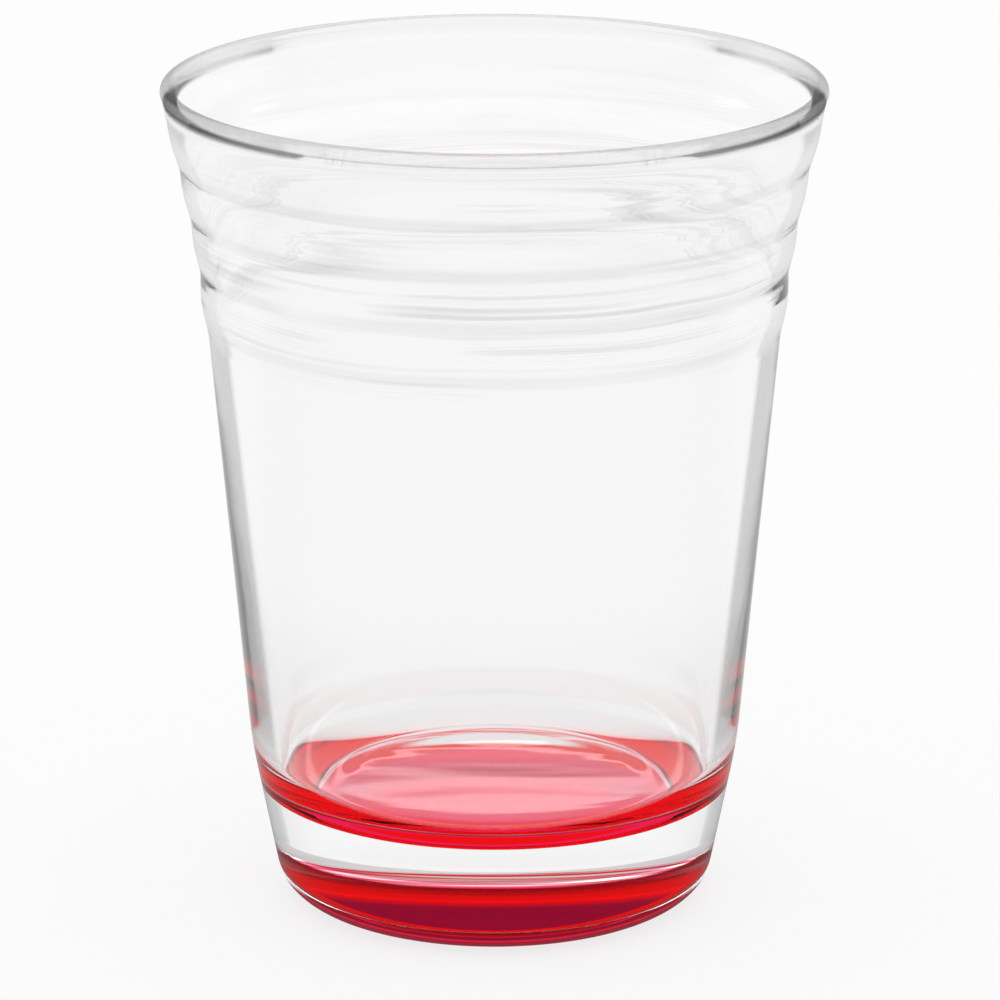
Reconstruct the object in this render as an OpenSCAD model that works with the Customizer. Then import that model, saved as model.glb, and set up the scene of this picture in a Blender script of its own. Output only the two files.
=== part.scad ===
// Glass party cup: a clear glass tumbler in the form of a stacking party cup,
// with a flared ringed mouth, a plain tapered body, a thick solid base, and a
// see-through red lacquer on the underside and round the heel.
// Origin: centre of the base, on the table. +Z runs up the cup's axis. Millimetres.

/* [Cup] */
// Height from the table to the top of the lip
cup_h = 121; // [110:1:140]
// Outer diameter of the lip
lip_d = 95; // [94:0.5:100]
// Thickness of the rounded bead at the lip
lip_bead_d = 2.1; // [1.6:0.1:2.6]
// How far below its widest line the bead's outside meets the wall, in degrees
lip_neck_a = 40; // [20:1:55]
// Height of the plain lip above the last groove of the rings
lip_h = 4.2; // [3:0.1:6]

/* [Body] */
// Outer diameter where the plain body meets the ringed mouth
step_d = 82.1; // [80:0.1:84]
// Outer diameter at the top of the foot, where the wall starts to tuck in
foot_d = 71; // [68:0.5:74]
// Height of the foot
foot_h = 23; // [20:0.5:28]
// Height over which the body's taper turns into the foot's
foot_blend = 8; // [4:1:12]
// Diameter at which the foot's slope would reach the table with no rounding
heel_d = 61.8; // [58:0.2:64]
// Radius that rounds the heel
heel_r = 6.7; // [4:0.1:7]

/* [Rings of the mouth] */
// Number of rings above the lowest band
ring_count = 3; // [1:1:3]
// Height of one ring
ring_pitch = 7.6; // [6:0.1:7.8]
// Height of the lowest band, from the meeting line to the first groove
band_h = 9.5; // [7:0.5:11]
// How far each ring swells out past the line of the mouth
ring_bulge = 0.3; // [0.1:0.05:0.6]
// How far the lowest band swells out past the line of the mouth
band_bulge = 0.45; // [0.1:0.05:0.8]
// Shape of the swell: 1 leaves sharp grooves, 2 makes even waves
ring_round = 1.4; // [1.1:0.1:2]
// Share of the swell that the inside wall follows
ring_follow = 0.7; // [0:0.1:1]
// How far the mouth flares out past the line of the body
flare_out = 2.8; // [1.5:0.1:3]

/* [Wall and floor] */
// Thickness of the wall at the mouth and at the top of the body
wall_t = 2.05; // [1.6:0.05:2.6]
// Thickness of the wall at the top of the foot
wall_foot_t = 3.6; // [2.8:0.1:4.6]
// Height of the floor's edge inside, above the table
floor_z = 15.9; // [10:0.1:18]
// How much lower the floor is at its centre
floor_dish = 0.25; // [0:0.1:1]
// Radius between the floor and the wall inside
floor_r = 8.5; // [4:0.5:10]

/* [Underside and coat] */
// Height of the hollow under the base at its centre
punt_h = 0.4; // [0.2:0.1:2]
// Diameter of that hollow, inside the flat ring that the cup stands on
punt_d = 44; // [36:1:46]
// Thickness of the red lacquer
coat_t = 0.15; // [0.1:0.05:0.3]
// Height of the lacquer's edge above the table
coat_h = 3.8; // [2:0.1:9]

/* [Hidden] */
$fn = 128;
arc_steps = 12;
ring_steps = 10;
floor_steps = 6;

// Slope of the foot from upright, and the centre of the round of the heel
foot_tan = (foot_d - heel_d) / 2 / foot_h;
foot_a = atan(foot_tan);
glass_heel_r = heel_r - coat_t;
heel_x = heel_d / 2 - (glass_heel_r - heel_r * sin(foot_a)) / cos(foot_a);

// Levels of the mouth: where the body meets it, its first groove and its last
mouth_z = cup_h - lip_h;
rings_z = mouth_z - ring_count * ring_pitch;
step_z = rings_z - band_h;

// Line of the body outside, carried on up through the mouth
body_tan = (step_d - foot_d) / 2 / (step_z - foot_h);
function body_r(z) = foot_d / 2 + body_tan * (z - foot_h);

// Line of the wall inside, carried on down to the floor, and the centre of
// the round between them
wall_in_r = foot_d / 2 - wall_foot_t;
wall_in_tan = (step_d / 2 - wall_t - wall_in_r) / (step_z - foot_h);
wall_in_a = atan(wall_in_tan);
floor_round_z = floor_z + floor_r;
floor_x = wall_in_r + wall_in_tan * (floor_round_z - foot_h) - floor_r / cos(wall_in_a);

// The mouth: its flare, and the swell of its bands
function flare(z) = flare_out * pow((z - step_z) / (mouth_z - step_z), 2);
function swell(t, bulge) = bulge * pow(sin(180 * t), ring_round);
function band_swell(z) = z < rings_z
    ? swell((z - step_z) / band_h, band_bulge)
    : swell((z - rings_z) / ring_pitch % 1, ring_bulge);
function mouth_r(z, follow) = body_r(z) + flare(z) + follow * band_swell(z);

band_levels = [for (i = [0 : ring_steps - 1]) step_z + band_h * i / ring_steps];
ring_levels = [for (i = [0 : ring_count * ring_steps]) rings_z + ring_pitch * i / ring_steps];
mouth_levels = concat(band_levels, ring_levels);

// The bead of the lip: it stands out from the wall in a shallow neck outside,
// and a straight wall that comes up from a point p inside runs smoothly into it
lip_r = lip_bead_d / 2;
lip_x = lip_d / 2 - lip_r;
lip_z = cup_h - lip_r;
function lip_meet(p) =
    let (dx = lip_x - p[0], dz = lip_z - p[1], far = sqrt(dx * dx + dz * dz))
    360 + atan2(-dz, -dx) - acos(lip_r / far);

// Points of an arc about (x, z) from angle a to angle b
function arc(x, z, r, a, b) =
    [for (i = [0 : arc_steps]) let (t = a + (b - a) * i / arc_steps) [x + r * cos(t), z + r * sin(t)]];

// A soft turn at corner b between the points a and c, which start and end it
function turn(a, b, c) =
    [for (i = [0 : arc_steps / 2]) let (t = 2 * i / arc_steps)
        (1 - t) * (1 - t) * a + 2 * t * (1 - t) * b + t * t * c];

// A round hollow or dish, h high at the centre and level at the edge
function dish(r, edge, h) = h / 2 * (1 + cos(180 * r / edge));

// The lacquer ends on the round of the heel, at this angle, or on the foot above it
coat_on_heel = coat_h < heel_r * (1 - sin(foot_a));
coat_a = coat_on_heel ? acos((heel_r - coat_h) / heel_r) - 90 : -foot_a;

// Underside and heel from the axis to the lacquer's edge, at a distance out
// from the glass
function coat_line(out) = concat(
    [for (i = [0 : floor_steps]) let (r = punt_d / 2 * i / floor_steps)
        [r, coat_t - out + dish(r, punt_d / 2, punt_h)]],
    arc(heel_x, heel_r, glass_heel_r + out, -90, coat_a),
    coat_on_heel ? [] : [[heel_d / 2 + foot_tan * coat_h + out * cos(foot_a), coat_h - out * sin(foot_a)]]);

// Outside of the glass from the lacquer's edge to the top of the mouth
foot_turn = turn([foot_d / 2 - foot_tan * foot_blend / 2, foot_h - foot_blend / 2], [foot_d / 2, foot_h],
    [body_r(foot_h + foot_blend / 2), foot_h + foot_blend / 2]);
bare_heel = coat_on_heel ? arc(heel_x, heel_r, glass_heel_r, coat_a, -foot_a) : [];
outside = concat(bare_heel, foot_turn, [for (z = mouth_levels) [mouth_r(z, 1), z]]);

// Inside of the glass from the axis to the top of the mouth
inside = concat(
    [for (i = [0 : floor_steps - 1]) let (r = floor_x * i / floor_steps)
        [r, floor_z - dish(r, floor_x, floor_dish)]],
    arc(floor_x, floor_round_z, floor_r, -90, -wall_in_a),
    [for (z = mouth_levels) [mouth_r(z, ring_follow) - wall_t, z]]);

lip = arc(lip_x, lip_z, lip_r, -lip_neck_a, lip_meet([mouth_r(mouth_z, ring_follow) - wall_t, mouth_z]));

function back(points) = [for (i = [len(points) - 1 : -1 : 0]) points[i]];

// One moulded piece of clear glass, turned about its axis
module glass_cup() {
    color([0.86, 0.93, 0.95, 0.35])
    rotate_extrude() polygon(concat(coat_line(0), outside, lip, back(inside)));
}

// The lacquer film, which lies on the glass all over
module base_coat() {
    color([0.84, 0.02, 0.08, 0.8])
    rotate_extrude() polygon(concat(coat_line(coat_t), back(coat_line(0))));
}

glass_cup();
base_coat();
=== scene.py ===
import math

import bpy
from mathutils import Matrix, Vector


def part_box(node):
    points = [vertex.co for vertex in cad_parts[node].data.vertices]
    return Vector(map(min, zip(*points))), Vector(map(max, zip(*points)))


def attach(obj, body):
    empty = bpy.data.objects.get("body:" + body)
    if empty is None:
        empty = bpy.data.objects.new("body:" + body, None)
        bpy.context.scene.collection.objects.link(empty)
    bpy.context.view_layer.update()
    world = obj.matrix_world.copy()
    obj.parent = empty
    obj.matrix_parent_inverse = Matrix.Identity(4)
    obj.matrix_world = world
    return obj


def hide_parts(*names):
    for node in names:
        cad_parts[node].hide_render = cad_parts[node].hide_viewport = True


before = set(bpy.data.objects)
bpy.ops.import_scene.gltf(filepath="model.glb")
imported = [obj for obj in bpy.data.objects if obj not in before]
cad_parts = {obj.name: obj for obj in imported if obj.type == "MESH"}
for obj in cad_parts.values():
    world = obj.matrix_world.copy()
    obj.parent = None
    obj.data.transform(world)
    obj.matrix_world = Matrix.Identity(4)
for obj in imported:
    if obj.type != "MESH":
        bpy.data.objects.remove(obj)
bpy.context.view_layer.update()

scene = bpy.context.scene
scene.view_settings.view_transform = "Standard"

# The glass
# One moulded piece of clear soda-lime glass: a thick solid base, a plain tapered wall, a flared mouth with
# one wide band and three rings, and a fire-polished bead for a lip. It is turned about its own axis.
glass_low, glass_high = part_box("glass_cup")
coat_low, coat_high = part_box("base_coat")
coat_thick = glass_low.z - coat_low.z

# The lip, measured from the top of the cup
cup_height = glass_high.z
lip_r = 0.0475
lip_bead_r = 0.00105
lip_neck_a = math.radians(40)
lip_centre = (lip_r - lip_bead_r, cup_height - lip_bead_r)
lip_height = 0.0042

# The bands of the mouth, from the last groove down to the line where the body starts
ring_count = 3
ring_pitch = 0.0076
band_height = 0.0095
mouth_z = cup_height - lip_height
rings_z = mouth_z - ring_count * ring_pitch
step_z = rings_z - band_height
ring_bulge = 0.0003
band_bulge = 0.00045
ring_round = 1.4
ring_follow = 0.7
flare_out = 0.0028

# The body and the foot, outside
step_r = 0.04105
foot_r = 0.0355
foot_z = 0.023
foot_blend = 0.008
heel_foot_r = 0.0309
heel_r = 0.0067
foot_tan = (foot_r - heel_foot_r) / foot_z
foot_a = math.atan(foot_tan)
heel_x = heel_foot_r - (heel_r - coat_thick - heel_r * math.sin(foot_a)) / math.cos(foot_a)
body_tan = (step_r - foot_r) / (step_z - foot_z)

# The wall and the floor, inside
wall_thick = 0.00205
foot_wall_thick = 0.0036
wall_foot_r = foot_r - foot_wall_thick
wall_tan = (step_r - wall_thick - wall_foot_r) / (step_z - foot_z)
wall_a = math.atan(wall_tan)
floor_z = 0.0159
floor_dish = 0.00025
floor_round = 0.0085
floor_round_z = floor_z + floor_round
floor_x = wall_foot_r + wall_tan * (floor_round_z - foot_z) - floor_round / math.cos(wall_a)

# The hollow under the base, inside the flat ring that the cup stands on
punt_r = 0.022
punt_deep = 0.0004


def arc(x, z, radius, start, end, steps):
    points = []
    for i in range(steps + 1):
        angle = start + (end - start) * i / steps
        points.append((x + radius * math.cos(angle), z + radius * math.sin(angle)))
    return points


def dish(radius, edge, deep):
    return deep / 2 * (1 + math.cos(math.pi * radius / edge))


def body_radius(z):
    return foot_r + body_tan * (z - foot_z)


def mouth_radius(z, follow):
    flare = flare_out * ((z - step_z) / (mouth_z - step_z)) ** 2
    if z < rings_z:
        share = (z - step_z) / band_height
        bulge = band_bulge
    else:
        share = (z - rings_z) / ring_pitch % 1
        bulge = ring_bulge
    return body_radius(z) + flare + follow * bulge * max(0, math.sin(math.pi * share)) ** ring_round


def underside(out, steps=20):
    level = coat_thick - out
    radii = [punt_r * i / steps for i in range(steps + 1)]
    return [(r, level + dish(r, punt_r, punt_deep)) for r in radii]


def heel(out, start, end, steps):
    return arc(heel_x, heel_r, heel_r - coat_thick + out, start, end, steps)


def lip_meet(point):
    # The angle at which a straight wall that comes up from a point inside runs into the bead
    dx = lip_centre[0] - point[0]
    dz = lip_centre[1] - point[1]
    return 2 * math.pi + math.atan2(-dz, -dx) - math.acos(lip_bead_r / math.hypot(dx, dz))


def foot_turn(steps=12):
    low = (foot_r - foot_tan * foot_blend / 2, foot_z - foot_blend / 2)
    high = (body_radius(foot_z + foot_blend / 2), foot_z + foot_blend / 2)
    points = []
    for i in range(steps + 1):
        t = i / steps
        mid = 2 * t * (1 - t)
        r = (1 - t) ** 2 * low[0] + mid * foot_r + t * t * high[0]
        z = (1 - t) ** 2 * low[1] + mid * foot_z + t * t * high[1]
        points.append((r, z))
    return points


def turn_solid(name, outline, around=256):
    # Draws the outline from one vertex by extruding it from point to point, and spins it about the axis
    bpy.ops.object.select_all(action="DESELECT")
    bpy.ops.mesh.primitive_plane_add(size=0.001)
    piece = bpy.context.object
    piece.name = name
    bpy.ops.object.mode_set(mode="EDIT")
    bpy.ops.mesh.merge(type="CENTER")
    at = (0, 0)
    for i, (r, z) in enumerate(outline):
        step = (r - at[0], 0, z - at[1])
        if i == 0:
            bpy.ops.transform.translate(value=step)
        else:
            bpy.ops.mesh.extrude_region_move(TRANSFORM_OT_translate={"value": step})
        at = (r, z)
    bpy.ops.mesh.select_all(action="SELECT")
    bpy.ops.mesh.spin(steps=around, angle=2 * math.pi, center=(0, 0, 0), axis=(0, 0, 1))
    bpy.ops.mesh.select_all(action="SELECT")
    bpy.ops.mesh.remove_doubles(threshold=0.000001)
    bpy.ops.mesh.normals_make_consistent(inside=False)
    bpy.ops.object.mode_set(mode="OBJECT")
    bpy.ops.object.shade_smooth_by_angle(angle=math.radians(30))
    return piece


class Socket:
    # A shader value that can be used in Python sums
    tree = None

    def __init__(self, socket):
        self.socket = socket

    @classmethod
    def node(cls, kind, settings=None, **inputs):
        new = cls.tree.nodes.new(kind)
        for key, value in (settings or {}).items():
            setattr(new, key, value)
        for key, value in inputs.items():
            slot = int(key[3:]) if key.startswith("in_") and key[3:].isdigit() else key.replace("_", " ")
            if isinstance(value, Socket):
                cls.tree.links.new(value.socket, new.inputs[slot])
            else:
                new.inputs[slot].default_value = value
        return new

    @classmethod
    def maths(cls, operation, *values):
        inputs = {f"in_{i}": value for i, value in enumerate(values)}
        return cls(cls.node("ShaderNodeMath", {"operation": operation}, **inputs).outputs[0])

    def __add__(self, other):
        return self.maths("ADD", self, other)

    def __sub__(self, other):
        return self.maths("SUBTRACT", self, other)

    def __rsub__(self, other):
        return self.maths("SUBTRACT", other, self)

    def __mul__(self, other):
        return self.maths("MULTIPLY", self, other)

    def __truediv__(self, other):
        return self.maths("DIVIDE", self, other)

    __radd__ = __add__
    __rmul__ = __mul__

    def rise(self, low, high):
        # 0 at low, 1 at high, and a soft change between
        settings = {"interpolation_type": "SMOOTHSTEP"}
        inputs = {"in_0": self, "in_1": low, "in_2": high, "in_3": 0.0, "in_4": 1.0}
        return Socket(self.node("ShaderNodeMapRange", settings, **inputs).outputs[0])


def start_tree(owner):
    owner.use_nodes = True
    owner.node_tree.nodes.clear()
    Socket.tree = owner.node_tree


def place():
    # The point on the piece, as three values in metres
    where = Socket.node("ShaderNodeTexCoord").outputs["Object"]
    parts = Socket.node("ShaderNodeSeparateXYZ", Vector=Socket(where)).outputs
    return Socket(parts[0]), Socket(parts[1]), Socket(parts[2])


def noise(x, y, z, detail=2.0, rough=0.5):
    vector = Socket.node("ShaderNodeCombineXYZ", in_0=x, in_1=y, in_2=z)
    settings = {"noise_dimensions": "3D"}
    inputs = {"Vector": Socket(vector.outputs[0]), "Scale": 1.0, "Detail": detail, "Roughness": rough}
    return Socket(Socket.node("ShaderNodeTexNoise", settings, **inputs).outputs[0])


def see_through(red, green, blue):
    return Socket.node("ShaderNodeBsdfTransparent", Color=(red, green, blue, 1.0))


def mixed(share, first, second):
    # The first shader, with the given share of the second
    inputs = {"in_0": share, "in_1": Socket(first.outputs[0]), "in_2": Socket(second.outputs[0])}
    return Socket.node("ShaderNodeMixShader", **inputs)


def finish_with(shader):
    out = Socket.node("ShaderNodeOutputMaterial")
    Socket.tree.links.new(shader.outputs[0], out.inputs["Surface"])


coat_top_z = 0.0038
coat_a = math.acos((heel_r - coat_top_z) / heel_r) - math.pi / 2
ring_steps = 16
levels = [step_z + band_height * i / ring_steps for i in range(ring_steps)]
levels += [rings_z + ring_pitch * i / ring_steps for i in range(ring_count * ring_steps + 1)]
outline = underside(0)
outline += heel(0, -math.pi / 2, coat_a, 16)
outline += heel(0, coat_a, -foot_a, 6)[1:]
outline += foot_turn()
outline += [(mouth_radius(z, 1), z) for z in levels]
inside_top = (mouth_radius(mouth_z, ring_follow) - wall_thick, mouth_z)
outline += arc(*lip_centre, lip_bead_r, -lip_neck_a, lip_meet(inside_top), 28)
outline += [(mouth_radius(z, ring_follow) - wall_thick, z) for z in reversed(levels)]
outline += arc(floor_x, floor_round_z, floor_round, -wall_a, -math.pi / 2, 28)
floor_radii = [floor_x * i / 16 for i in range(16)]
outline += [(r, floor_z - dish(r, floor_x, floor_dish)) for r in reversed(floor_radii)]
glass = turn_solid("glass_cup_body", outline)

glass_ior = 1.52


def clear_shader(tone, height):
    bump = Socket.node("ShaderNodeBump", Strength=1.0, Distance=1.0, Height=height)
    return Socket.node(
        "ShaderNodeBsdfPrincipled",
        Base_Color=tone,
        Roughness=0.0,
        IOR=glass_ior,
        Transmission_Weight=1.0,
        Normal=Socket(bump.outputs[0]),
    )


def glancing():
    # 0 where a surface faces the ray, 1 where the ray only grazes it
    return Socket(Socket.node("ShaderNodeLayerWeight", Blend=0.5).outputs["Facing"])


def faces_out(x, y):
    # 1 on the outside of the wall, 0 on the inside
    normal = Socket(Socket.node("ShaderNodeTexCoord").outputs["Normal"])
    normal = Socket.node("ShaderNodeSeparateXYZ", Vector=normal).outputs
    return (x * Socket(normal[0]) + y * Socket(normal[1])).rise(0.0, 0.001)


# The plain wall and the foot
body_glass = bpy.data.materials.new("clear glass")
start_tree(body_glass)
x, y, z = place()
swirl = noise(x * 30, y * 30, z * 60)
# Painted shade: from 20 mm up, the base colour darkens towards grey where the outside of the wall is seen at
# a glancing angle
edge = (glancing() - z * 1.25).rise(0.545, 0.60) * faces_out(x, y) * z.rise(0.020, 0.030)
finish_with(clear_shader(0.985 - edge * 0.585, swirl * 0.00004))
glass.data.materials.append(body_glass)

# The floor, which has soft ripples from the plunger that pressed it
floor_glass = bpy.data.materials.new("clear glass of the floor")
start_tree(floor_glass)
x, y, z = place()
middle = 1 - Socket.maths("SQRT", x * x + y * y).rise(floor_x - 0.003, floor_x)
ripples = noise(x * 25, y * 140, 0.0, 1.0)
finish_with(clear_shader((0.985, 0.985, 0.985, 1.0), ripples * middle * 0.00018))
glass.data.materials.append(floor_glass)

# The mouth, chilled unevenly in its ringed mould, which gives its surface a fine bump. Its base colour
# carries painted shade: faint bands over the grooves, fine streaks between them, and grey at the glancing
# sides
mouth_glass = bpy.data.materials.new("clear glass of the mouth")
start_tree(mouth_glass)
x, y, z = place()
facing = glancing()
outside = faces_out(x, y)
chill = noise(x * 14, y * 14, z * 260, 2.0, 0.5)
mould_zone = z.rise(step_z - 0.002, step_z + 0.006) * (1 - z.rise(mouth_z - 0.004, mouth_z))
below_lip = 1 - z.rise(mouth_z, mouth_z + 0.001)
# Painted shade: the base colour darkens towards grey where the outside of the wall is seen at a glancing
# angle, less on the rings
edge = (facing - z * 1.25).rise(0.545, 0.60) * outside * below_lip * (1 - mould_zone * 0.6)
wander = z + (noise(x * 18, y * 18, z * 40) - 0.5) * 0.003
# Painted shade: faint darker bands just above each groove, broken up by noise, on the outside
painted_groove_shade = Socket.maths("FRACT", (wander - rings_z) / ring_pitch)
painted_groove_shade = painted_groove_shade.rise(0.0, 0.08) * (1 - painted_groove_shade.rise(0.2, 0.34)) * mould_zone
painted_groove_shade = painted_groove_shade * noise(x * 30, y * 30, z * 90).rise(0.30, 0.55) * outside
fine = noise(x * 11, y * 11, wander * 1500, 2.0, 0.5)
low_mould = z.rise(step_z - 0.001, step_z + 0.001) * (1 - z.rise(rings_z + 0.004, rings_z + 0.012))
streaky = noise(x * 26, y * 26, z * 130).rise(0.36, 0.54) * (0.2 + low_mould * 0.8) * mould_zone
# Painted shade: fine dark streaks in the base colour, strongest low in the mould; the clear gaps between them
# read as lighter streaks
painted_streak_shade = fine.rise(0.30, 0.45) * 0.05 - 0.05 - fine.rise(0.52, 0.66) * 0.20
tone = 0.985 + painted_streak_shade * streaky - painted_groove_shade * 0.10
tone = tone * (1 - edge) + edge * 0.40
shader = clear_shader(tone, chill * mould_zone * 0.00012)
lip = z.rise(mouth_z + 0.0012, mouth_z + 0.0022)
neck_z = lip_centre[1] - lip_bead_r * math.sin(lip_neck_a)
neck = z.rise(neck_z - 0.0003, neck_z - 0.0001) * (1 - z.rise(neck_z - 0.0001, neck_z + 0.0001)) * outside
# The bead lets most rays straight through. Painted shade: dark grey lines along its glancing top edge and
# round its neck, seen from outside
straight = see_through(0.95, 0.95, 0.95)
shaded = see_through(0.30, 0.30, 0.30)
soft_lip = mixed(lip * 0.72, shader, straight)
seen_outside = 1 - Socket(Socket.node("ShaderNodeNewGeometry").outputs["Backfacing"])
painted_rim_lines = (lip * facing.rise(0.45, 0.85) * 0.3 + neck * 0.45) * seen_outside
finish_with(mixed(painted_rim_lines, soft_lip, shaded))
glass.data.materials.append(mouth_glass)

bonded = bpy.data.materials.new("clear glass under lacquer")
start_tree(bonded)
finish_with(see_through(1.0, 1.0, 1.0))
glass.data.materials.append(bonded)
edge_z = heel_r + (heel_r - coat_thick) * math.sin(coat_a)
for face in glass.data.polygons:
    if face.center.z < edge_z:
        face.material_index = 3
    elif face.center.z > step_z - 0.003:
        face.material_index = 2
    elif face.center.z < floor_z + 0.003 and face.normal.z > 0.7:
        face.material_index = 1
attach(glass, "root")
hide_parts("glass_cup")

# The red lacquer
# A see-through red film, sprayed on the underside and round the heel after the glass was moulded. It is
# dense under the base, and thins out in streaks to a soft edge on the heel.
film_gap = 0.00001
film = underside(coat_thick)
film += heel(coat_thick, -math.pi / 2, coat_a, 16)
film += reversed(heel(film_gap, -math.pi / 2, coat_a, 16))
film += reversed(underside(film_gap))
coat = turn_solid("red_lacquer_film", film)

gloss = bpy.data.materials.new("lacquer gloss")
start_tree(gloss)
shader = Socket.node(
    "ShaderNodeBsdfPrincipled",
    Base_Color=(1.0, 1.0, 1.0, 1.0),
    Roughness=0.0,
    IOR=glass_ior,
    Transmission_Weight=1.0,
)
inner_side = Socket(Socket.node("ShaderNodeNewGeometry").outputs["Backfacing"])
tilt = Socket(Socket.node("ShaderNodeLayerWeight", Blend=0.5).outputs["Facing"])
let_out = see_through(1.0, 1.0, 1.0)
finish_with(mixed(inner_side * tilt.rise(0.26, 0.50) * 0.7, shader, let_out))
coat.data.materials.append(gloss)

tint = bpy.data.materials.new("lacquer red")
start_tree(tint)
x, y, z = place()
streaks = noise(x * 35, y * 35, z * 2600, 3.0, 0.6)
patches = noise(x * 60, y * 60, z * 300)
ragged = z + (streaks - 0.5) * 0.0012 + (patches - 0.5) * 0.0010
reach = Socket.maths("SQRT", x * x + y * y)
on_heel = reach.rise(0.0272, 0.0280)
tilt = Socket(Socket.node("ShaderNodeLayerWeight", Blend=0.5).outputs["Facing"])
from_outside = Socket(Socket.node("ShaderNodeNewGeometry").outputs["Backfacing"])
solid = 1 - ragged.rise(0.0017, 0.0025)
wisps = streaks.rise(0.40, 0.56) * 0.9 * (1 - ragged.rise(0.0034, 0.0039))
rim = ragged.rise(0.0030, 0.0033) * (1 - ragged.rise(0.0036, 0.0039)) * 0.95
from_inside = Socket.maths("MAXIMUM", Socket.maths("MAXIMUM", solid, wisps), rim) * tilt.rise(0.02, 0.05)
cover = from_inside * (1 - from_outside) + (1 - ragged.rise(0.0040, 0.0044)) * from_outside
dense = 1 - on_heel * (1 - cover)
thin = see_through(1.0, 0.95, 0.955)
deep = see_through(0.97, 0.002, 0.004)
rosy = see_through(0.95, 0.012, 0.10)
wine = see_through(0.36, 0.0005, 0.022)
long_way = see_through(0.40, 0.0003, 0.035)
red = mixed(tilt.rise(0.12, 0.17) * (1 - tilt.rise(0.28, 0.40)), deep, rosy)
red = mixed(on_heel * from_outside, red, wine)
red = mixed(tilt.rise(0.62, 0.80) * (1 - reach.rise(0.018, 0.026)), red, long_way)
finish_with(mixed(dense, thin, red))
coat.data.materials.append(tint)
for face in coat.data.polygons:
    middle = face.center
    away = middle.xy.normalized().dot(face.normal.xy) if middle.xy.length > 0 else 0
    if face.normal.z > 0 and away < 0.2:
        face.material_index = 1
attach(coat, "root")
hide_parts("base_coat")

# The table
# A plain white sheet that runs far back. The camera, and glass that is looked through, see it white, except
# for a painted shadow round the cup that the glass shows; mirrored on the outside of the glass it is dimmer,
# darkest in front. For the camera it still takes the cup's soft shadow.
def ray_kinds():
    # The ray's outputs, then 1 where it came through glass, and 1 where it was mirrored on the outside. A ray
    # that has crossed an odd number of surfaces was mirrored within the glass, and counts as come through.
    path = Socket.node("ShaderNodeLightPath").outputs
    inside = Socket.maths("FRACT", Socket(path["Transmission Depth"]) * 0.5) * 2
    mirrored = Socket(path["Is Glossy Ray"])
    through = Socket.maths("MAXIMUM", Socket(path["Is Transmission Ray"]), mirrored * inside)
    return path, through, mirrored * (1 - through)


bpy.ops.object.select_all(action="DESELECT")
bpy.ops.mesh.primitive_circle_add(vertices=128, radius=6, fill_type="NGON", location=(0, 0, -0.00005))
table = bpy.context.object
table.name = "table"
paper = bpy.data.materials.new("white table")
start_tree(paper)
x, y, z = place()
path, seen_through, reflected = ray_kinds()
# Painted shadow: seen through the glass, the table is up to 7 percent darker within 14 cm of the cup
painted_cup_shadow = 1 - Socket.maths("SQRT", x * x + y * y).rise(0.06, 0.14)
level = 1 - reflected * (0.9 - y.rise(-0.02, 0.10) * 0.6) - seen_through * painted_cup_shadow * 0.07
glow = Socket.node("ShaderNodeEmission", Color=(1.0, 1.0, 1.0, 1.0), Strength=level)
matt = Socket.node("ShaderNodeBsdfDiffuse", Color=(0.92, 0.92, 0.92, 1.0))
shadow_share = Socket(path["Is Camera Ray"]) * 0.22
finish_with(mixed(shadow_share, glow, matt))
table.data.materials.append(paper)

# The light
# A white tent all round: bright above the horizon, where the floor of the cup mirrors it, and dim overhead.
sky = bpy.data.worlds.new("light tent")
scene.world = sky
start_tree(sky)
way = Socket.node("ShaderNodeTexCoord").outputs["Generated"]
way = Socket.node("ShaderNodeSeparateXYZ", Vector=Socket(way)).outputs
up = Socket(way[2])
behind = Socket(way[1]).rise(-0.1, 0.3)
path, passing, mirrored = ray_kinds()
camera = Socket(path["Is Camera Ray"])
plain = 1 - camera - passing - mirrored
horizon = up.rise(-0.02, 0.02) * (1 - up.rise(0.24, 0.31))
bright = up.rise(0.235, 0.27) * (1 - up.rise(0.31, 0.36)) * behind
through = 1 - horizon * 0.3 + bright * 1.3
front = 0.12 + behind * 0.6 + up.rise(0.75, 0.95) * 0.3
strength = camera + passing * through + mirrored * front + Socket.maths("MAXIMUM", plain, 0.0)
back = Socket.node("ShaderNodeBackground", Color=(1.0, 1.0, 1.0, 1.0), Strength=strength)
out = Socket.node("ShaderNodeOutputWorld")
Socket.tree.links.new(back.outputs[0], out.inputs["Surface"])

# The camera
# A long lens, a little above the rim.
bpy.ops.object.camera_add(location=(0, -0.827, 0.3012), rotation=(math.radians(90 - 16.33), 0, 0))
view = bpy.context.object
view.name = "camera"
view.data.lens = 214.1
view.data.sensor_width = 36
view.data.shift_x = 0.0055
scene.camera = view
scene.cycles.max_bounces = 24
scene.cycles.transmission_bounces = 24
scene.cycles.glossy_bounces = 12
scene.cycles.transparent_max_bounces = 32
